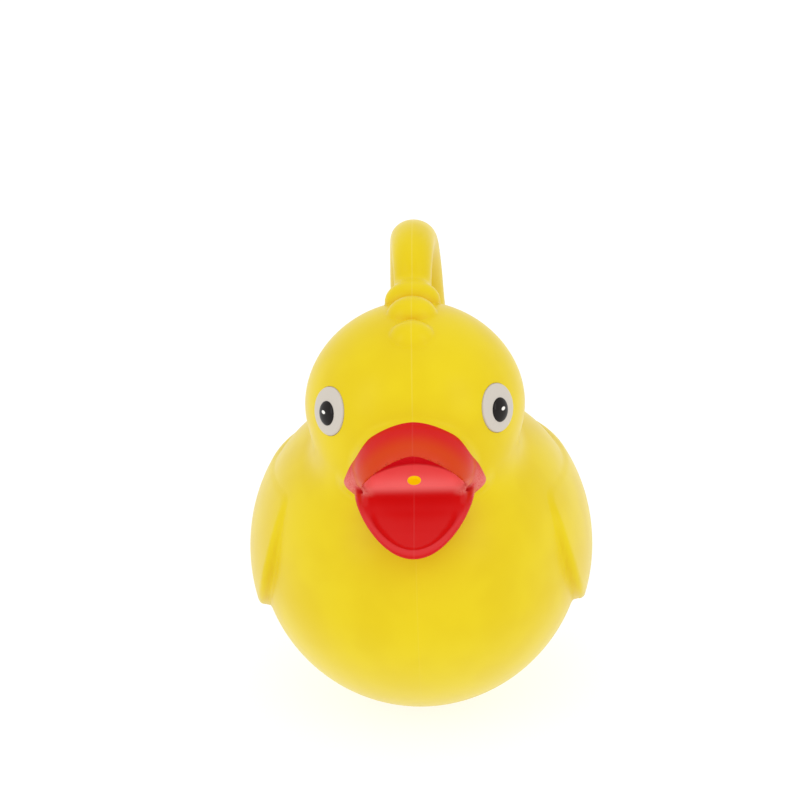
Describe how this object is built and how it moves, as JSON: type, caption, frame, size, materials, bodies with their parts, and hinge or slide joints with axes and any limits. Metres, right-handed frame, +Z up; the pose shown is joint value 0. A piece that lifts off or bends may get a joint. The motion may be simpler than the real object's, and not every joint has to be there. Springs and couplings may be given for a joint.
{
  "type": "duck watering can",
  "caption": "Child's duck-shaped watering can: hollow yellow body and head, loop handle, open red beak with a pour hole, round filler mouth on the back.",
  "frame": {"origin": "on the resting surface, under the middle of the can's box", "axes": "+Z up, the duck faces -Y, X = 0 is the parting plane and the plane of symmetry"},
  "size_m": [0.171, 0.245, 0.2352],
  "materials": {
    "yellow_shell": "satin blow-moulded polyethylene",
    "beak_red": "sprayed red lacquer on the yellow moulding",
    "eye_white": "satin white",
    "pupil_black": "glossy black"
  },
  "bodies": {
    "root": {"body_shell": "yellow_shell", "head_shell": "yellow_shell", "handle": "yellow_shell", "beak": "beak_red", "eye_white_left": "eye_white", "eye_white_right": "eye_white", "pupil_left": "pupil_black", "pupil_right": "pupil_black"}
  },
  "joints": []
}
